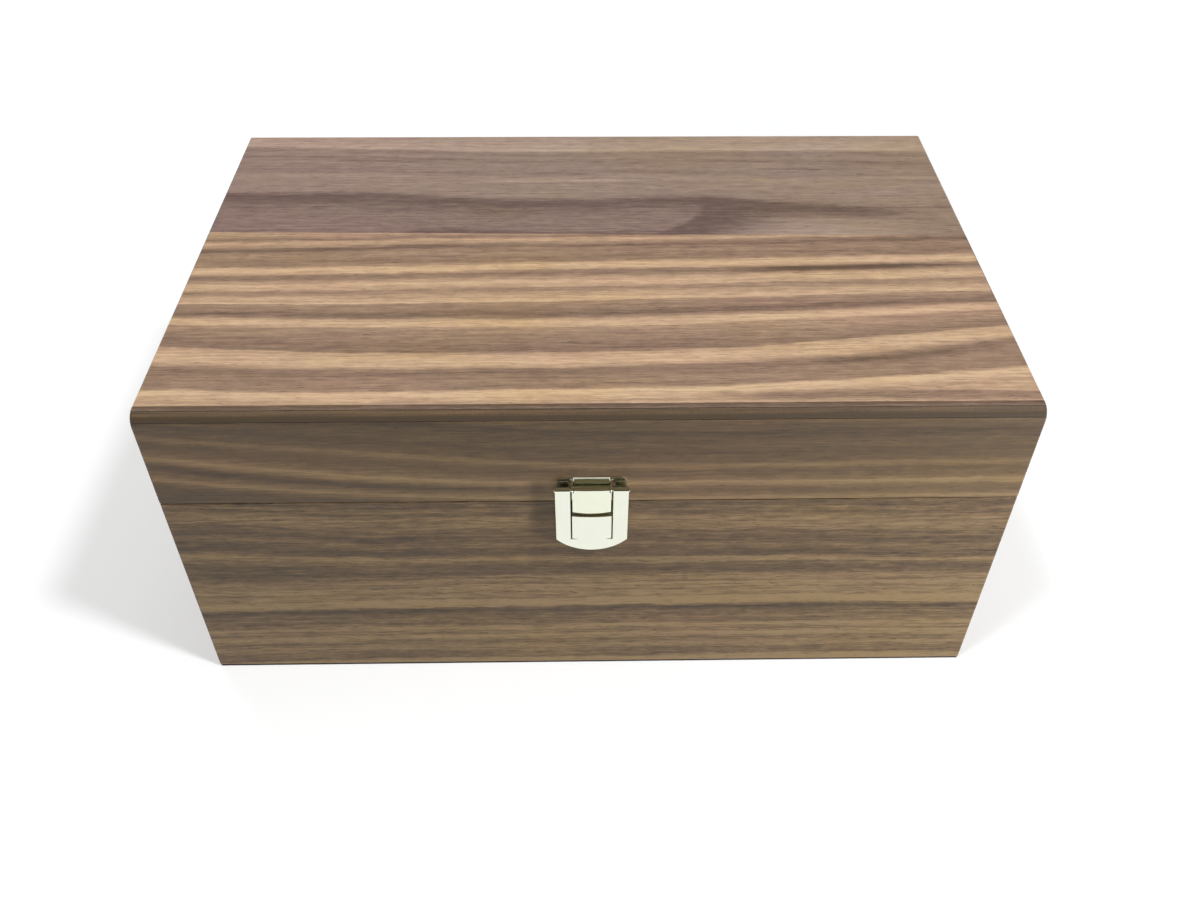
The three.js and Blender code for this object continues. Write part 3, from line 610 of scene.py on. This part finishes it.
def top_rear_pattern(along, across):
    """A long dark tongue in from the left, round at its end, and a smear that runs on from it."""
    left = along * -1.0
    bump = smear(along, across, (-5.0, 50.0), (105.0, 50.0), 90.0, 48.0)
    swell = ease_step(left, 35.0, 125.0) * 7.5 + bump * 3.0
    sink = ease_step(along, 60.0, 170.0) * 9.0
    near = 1.0 - ease_step(across, 58.0, 105.0)
    edge_rise = ease_step(left, 30.0, 200.0) * ease_step(across, 76.0, 92.0) * 6.0
    lines = across - (swell - sink) * near * ease_step(across, 22.0, 46.0) - edge_rise
    tone = stripes(lines, top_rear_marks)

    drop = (42.0 - across).math("MAXIMUM", 0.0) / 22.0
    end = 57.0 - drop * drop * 20.0 + (noise(across / 9, along / 60, 31.0) - 0.5) * 6.0
    beyond = ease_step(along - end, -1.0, 5.0) * (1.0 - ease_step(lines, 47.0, 52.0))
    clear = stripes(lines, past_tongue_marks)
    fade = ease_step(along - end, 10.0, 70.0)
    shaded = 0.04 + fade * (clear - 0.04) + ease_step(along, 140.0, 178.0) * (0.45 - clear)
    return smeared(tone + beyond * (shaded - tone), along, [
        (-0.16, across, (-40.0, 17.0), (45.0, 18.0), 3.0, 30.0),
        (0.2, across, (-70.0, 70.0), (35.0, 69.5), 2.0, 30.0),
        (-0.24, across, (-110.0, 19.0), (-5.0, 17.0), 6.0, 45.0),
        (-0.24, across, (-145.0, 92.5), (-78.0, 90.8), 1.4, 30.0),
        (-0.2, across, (95.0, 82.0), (158.0, 80.5), 2.4, 30.0),
        (0.2, across, (100.0, 72.5), (210.0, 71.5), 3.2, 30.0),
    ])


walnut_top_rear = walnut("walnut_top_rear", top_rear_tints, 17.0, grain_on_top,
                         top_rear_pattern, figure=1.1, drift=0.001)

# The front of the lid. All four sides share tints darker than the top's: partly browner wood,
# partly painted shade for the lesser light that falls on upright faces.
side_tints = [
    (0.0, (59, 45, 30)),
    (0.25, (86, 68, 48)),
    (0.5, (112, 90, 63)),
    (0.75, (138, 113, 81)),
    (1.0, (163, 137, 100)),
]
lid_front_marks = [
    (108, .34), (116, .38), (118.4, .6), (119.6, .83), (121, .68), (122.2, .57), (124, .45),
    (126, .5), (127.6, .62), (128.8, .76), (130, .9), (131, .68), (132.5, .55), (135, .45),
    (137.5, .42), (139, .52), (140.2, .66), (141.6, .6), (142.6, .42), (146, .38), (148, .3),
    (150.5, .4), (154, .36), (157, .28), (159, .22), (161, .34), (165, .38), (170, .3),
]


def lid_front_pattern(along, across):
    """Lines that sink from the left end to the middle and then run nearly level."""
    left = along * -1.0
    curve = left.math("MAXIMUM", 0.0) / 165.0
    lines = across - curve * curve * (curve * -2.0 + 13.0)
    lines = lines - 4.0 * ease_step(left, -10.0, 70.0) * ease_step(across, 126.0, 156.0)
    lines = lines - 1.1 * ease_step(along, 60.0, 170.0)
    # along / 2400 lightens the wood towards the right end: painted light, for light that falls
    # from the right
    tone = (stripes(lines, lid_front_marks) - 0.45) * 1.2 + 0.45 + along / 2400
    return smeared(tone, along, [(-0.2, lines, (-230.0, 126.0), (-10.0, 125.0), 2.4, 60.0)])


walnut_lid_front = walnut("walnut_lid_front", side_tints, 29.0, grain_along_x,
                          lid_front_pattern, figure=0.85)

# The front of the body, cut from another sheet, with many close lines.
body_front_marks = [
    (0, 1.0), (3.5, 1.0), (5.3, .82), (6.8, .55), (11, .6), (13.5, .72), (15.6, .84), (17.2, .7),
    (19.5, .6), (21.8, .78), (23.4, .92), (25, .82), (26.4, .64), (29, .78), (30.8, .94),
    (32.4, .68), (34, .56), (37, .6), (41, .52), (42.8, .36), (44.4, .28), (45.8, .5), (47.2, .88),
    (49, .98), (51.8, .96), (53, .74), (56, .82), (58, .72), (60.8, .8), (62.2, .88), (63.8, .66),
    (66.8, .78), (68.4, .73), (70, .56), (73, .4), (77, .46), (78.8, .6), (80.2, .78), (81.8, .82),
    (83.2, .55), (84.8, .36), (88, .44), (91, .62), (93.4, .46), (95.2, .42), (98.5, .54),
    (100, .46), (101.4, .66), (104, .72), (108.8, .72), (110.4, .54), (112, .48), (113.4, .6),
    (115, .55), (116.4, .42), (120, .46),
]


def body_front_pattern(along, across):
    """Nearly level lines, which spread upwards at the left end and sink a little at the right."""
    share = along / 180.0
    left = along * -1.0
    level = share * (share * -0.95 + 1.45)
    lift = 9.0 * ease_step(left, 85.0, 190.0) * ease_step(across, 64.0, 98.0) * (
        1.0 - 0.35 * ease_step(across, 106.0, 116.0))
    drop = 4.5 * share.math("MAXIMUM", 0.0) * ease_step(across, 60.0, 88.0) * (
        1.0 - 0.7 * ease_step(across, 97.0, 108.0))
    dip = 1.6 * ease_step(left, 0.0, 75.0) * ease_step(across, 50.0, 60.0) * (
        1.0 - ease_step(across, 70.0, 80.0))
    tone = stripes(across - level - lift + drop + dip, body_front_marks)
    # along / 3800 lightens the wood towards the right end: painted light, for light that falls
    # from the right
    return (tone - 0.62) * 1.22 + 0.61 + along / 3800


walnut_body_front = walnut("walnut_body_front", side_tints, 41.0, grain_along_x,
                           body_front_pattern, figure=1.65)


def plain_pattern(seed, start):
    """Quieter veneer, with the same spread of lines, for a face that doesn't show."""
    def pattern(along, across):
        broad = grain_marks(along, across, (420, 13), seed)
        close = grain_marks(along, across, (260, 3.6), seed + 1, roughness=0.6)
        return (broad - 0.5) * 1.1 + (close - 0.5) * 0.9 + start
    return pattern


walnut_left = walnut("walnut_left", side_tints, 53.0, grain_along_y, plain_pattern(61.0, 0.5))
walnut_right = walnut("walnut_right", side_tints, 67.0, grain_along_y, plain_pattern(73.0, 0.5))
walnut_back = walnut("walnut_back", side_tints, 79.0, grain_along_x, plain_pattern(83.0, 0.56))

between_ends = (-inner_y, inner_y)
side_sheets = {
    "front": (walnut_body_front, walnut_lid_front, {"y": (None, -inner_y)}),
    "back": (walnut_back, walnut_back, {"y": (inner_y, None)}),
    "left": (walnut_left, walnut_left, {"x": (None, -inner_x), "y": between_ends}),
    "right": (walnut_right, walnut_right, {"x": (inner_x, None), "y": between_ends}),
}
for side, (body_finish, lid_finish, spans) in side_sheets.items():
    fit(f"body_{side}_walnut", part_of(body_block, **spans), body_finish,
        "box_body", f"body_{side}_veneer")
    fit(f"lid_{side}_walnut", part_of(lid_block, z=(None, under_skin), **spans), lid_finish,
        "lid", f"lid_{side}_veneer")

# The two top sheets meet on a line a little out of square with the box, from end to end.
join_left, join_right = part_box("lid_top_veneer_front")[1].y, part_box("lid_top_veneer_rear")[0].y
join_middle = Vector((0, (join_left + join_right) / 2, 0))
join_across = Vector(((join_left - join_right) / 2, box_high.x, 0)).normalized()
for name, sign, finish in (("front", 1, walnut_top_front), ("rear", -1, walnut_top_rear)):
    sheet = part_of(lid_block, z=(under_skin, None))
    cut(sheet, join_middle, join_across * sign)
    fit(f"top_{name}_walnut", sheet, finish, "lid", f"lid_top_veneer_{name}")
body_block.free()
lid_block.free()


# The bottom: a panel let into the walls, a felt sheet glued under it so that the box doesn't
# scratch a table, and a felt lining on the floor of the box.
felt_overhang = Vector((0.7, 0.7, 0)) * mm
panel_edge, felt_edge = 0.3 * mm, 0.3 * mm


def felt(name, dark, light, seed):
    """Pressed wool: fine fibres, matted in patches, with a little sheen."""
    made, shader, x, y, z = material(name, 0.95)
    shader.inputs["Sheen Weight"].default_value = 0.4
    fibre = noise(x / 0.35, y / 0.35, seed, 3.0, 0.7)
    matted = noise(x / 5, y / 5, seed + 1, 3.0, 0.6)
    tone = (fibre - 0.5) + (matted - 0.5) * 0.7 + 0.5
    stops = [(0.0, colour(*dark)), (1.0, colour(*light))]
    tone.node("ShaderNodeValToRGB", {"stops": stops}, {0: tone}).into(shader, "Base Color")
    nap = {"Strength": 0.6, "Distance": 0.0002, "Height": fibre}
    tone.node("ShaderNodeBump", {}, nap).into(shader, "Normal")
    return made


base_felt = felt("base_felt", (34, 18, 16), (66, 38, 33), 5.0)
lining_felt = felt("lining_felt", (38, 26, 23), (78, 58, 50), 9.0)
panel_finish = walnut("bottom_panel", side_tints, 91.0, grain_on_top, plain_pattern(97.0, 0.45))

panel = solid_block(panel_low, panel_high)
ease(panel, panel.edges[:], panel_edge, segments=2)
fit("bottom_board", panel, panel_finish, "box_body", "bottom_panel")

for name, node, finish, slot, overhang in (
        ("base_sheet", "base_felt", base_felt, "base_felt", felt_overhang),
        ("floor_sheet", "floor_lining", lining_felt, "lining_felt", Vector())):
    low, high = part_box(node)
    low, high = low - overhang, high + overhang
    sheet = solid_block(low, high)
    upper_edges = edges_where(sheet, lambda v: abs(v.z - high.z) < same_place)
    ease(sheet, upper_edges, felt_edge, segments=2)
    piece = fit(name, sheet, finish, "box_body", node)


# The latch and the hinges: pressed and bent from nickel-plated steel sheet, with riveted pins. The
# plating is bright, with a faint waviness from the polishing; the flat plates that lie on the wood
# are duller, and the die has rounded the edges of the sheet.
close_to_wood = (121.0, 121.6)
sheet_edge, pin_edge = 0.25 * mm, 0.12 * mm
weld_reach = 0.002 * mm
flat_degrees, sharp_degrees = 1, 40


def plated(name, seed, roughness, plate_roughness, tint):
    """Nickel plating, rougher within 1 mm of the wood, where the buffing wheel can't reach."""
    made, shader, x, y, z = material(name, roughness)
    shader.inputs["Metallic"].default_value = 1.0
    wave = noise(x / 6, y / 6, z / 6 + seed)
    grain = noise(x / 0.6, y / 0.6, z / 0.6 + seed)
    depth = y.math("ABSOLUTE")
    dull = (1.0 - ease_step(depth, *close_to_wood)) * (plate_roughness - roughness)
    (wave * 0.06 + grain * 0.05 + (roughness - 0.055) + dull).into(shader, "Roughness")
    tone = wave * 0.6 + grain * 0.4
    stops = [(0.25, tuple(part * 0.96 for part in tint) + (1,)), (0.75, tint + (1,))]
    tone.node("ShaderNodeValToRGB", {"stops": stops}, {0: tone}).into(shader, "Base Color")
    waves = {"Strength": 0.15, "Distance": 0.0002, "Height": wave}
    tone.node("ShaderNodeBump", {}, waves).into(shader, "Normal")
    return made


bright_metal = plated("bright_metal", 3.0, 0.1, 0.14, (0.83, 0.85, 0.73))
hook_metal = plated("hook_metal", 5.0, 0.1, 0.14, (0.84, 0.86, 0.70))
screw_metal = plated("screw_metal", 8.0, 0.2, 0.2, (0.78, 0.78, 0.74))
for node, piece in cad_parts.items():
    if not ("latch" in node or "hinge" in node) or "screw" in node:
        continue
    finish = hook_metal if "strike_plate" in node else bright_metal
    for slot in piece.material_slots:
        slot.material = finish
    piece.data.shade_smooth()
    weld = piece.modifiers.new("weld", "WELD")
    weld.merge_threshold = weld_reach
    flat = piece.modifiers.new("flat", "DECIMATE")
    flat.decimate_type = "DISSOLVE"
    flat.angle_limit = math.radians(flat_degrees)
    edges = piece.modifiers.new("edges", "BEVEL")
    edges.width = pin_edge if "pin" in node else sheet_edge
    edges.segments = 3
    edges.limit_method = "ANGLE"
    edges.angle_limit = math.radians(sharp_degrees)
    shading = piece.modifiers.new("even_shading", "WEIGHTED_NORMAL")
    shading.weight = 100


# The screws: a flat countersunk head with a cross recess, a round shank and a point. Each is made
# in the box of its CAD screw, with its axis along Y and its head on the outside of the metal.
screw_flats = 40
shank_share, point_share = 0.49, 0.05
slot_share, cross_share = 0.13, 0.56
recess_share, recess_taper = 0.45, 0.8


def push_in(block, faces, deeper, scale, cap=False):
    """Carries faces further in along Z and scales them round the axis; a cap stays behind."""
    made = bmesh.ops.extrude_face_region(block, geom=faces)["geom"]
    if not cap:
        left = [face for face in faces if face.is_valid]
        bmesh.ops.delete(block, geom=left, context="FACES_ONLY")
    moved = [part for part in made if isinstance(part, bmesh.types.BMVert)]
    bmesh.ops.translate(block, vec=Vector((0, 0, -deeper)), verts=moved)
    bmesh.ops.scale(block, vec=(scale, scale, 1), verts=moved)
    return [part for part in made if isinstance(part, bmesh.types.BMFace)]


def face_of_head(block):
    """The flat faces at 0, where the head looks out."""
    return [face for face in block.faces
            if all(abs(vert.co.z) < same_place for vert in face.verts)]


def make_screw(node, body):
    """One screw, turned with its axis along Z and its head at 0, and then driven along Y."""
    low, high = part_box(node)
    outward = 1 if low.y > 0 else -1
    head, length = (high.x - low.x) / 2, high.y - low.y
    shank = shank_share * head
    block = bmesh.new()
    bmesh.ops.create_circle(block, cap_ends=True, segments=screw_flats, radius=head)
    made = push_in(block, block.faces[:], head - shank, shank / head, cap=True)
    made = push_in(block, made, length - head - shank, 1)
    push_in(block, made, 2 * shank, point_share)

    half_slot, half_cross = slot_share * head, cross_share * head
    for place in (-half_cross, -half_slot, half_slot, half_cross):
        for direction in (Vector((1, 0, 0)), Vector((0, 1, 0))):
            level = face_of_head(block)
            near = level + list({vert for face in level for vert in face.verts}) + list(
                {edge for face in level for edge in face.edges})
            bmesh.ops.bisect_plane(block, geom=near, dist=on_the_plane,
                                   plane_co=direction * place, plane_no=direction)
    cross = []
    for face in face_of_head(block):
        middle = face.calc_center_median()
        narrow, wide = sorted((abs(middle.x), abs(middle.y)))
        if narrow < half_slot and wide < half_cross:
            cross.append(face)
    push_in(block, cross, recess_share * head, recess_taper)

    turn = Matrix.Rotation(math.radians(-90 * outward), 4, "X")
    bmesh.ops.rotate(block, matrix=turn, verts=block.verts)
    seat = Vector(((low.x + high.x) / 2, high.y if outward > 0 else low.y, (low.z + high.z) / 2))
    bmesh.ops.translate(block, vec=seat, verts=block.verts)
    fit(f"{node}_made", block, screw_metal, body, node)


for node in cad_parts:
    if "screw" in node:
        make_screw(node, "lid" if "lid" in node else "box_body")
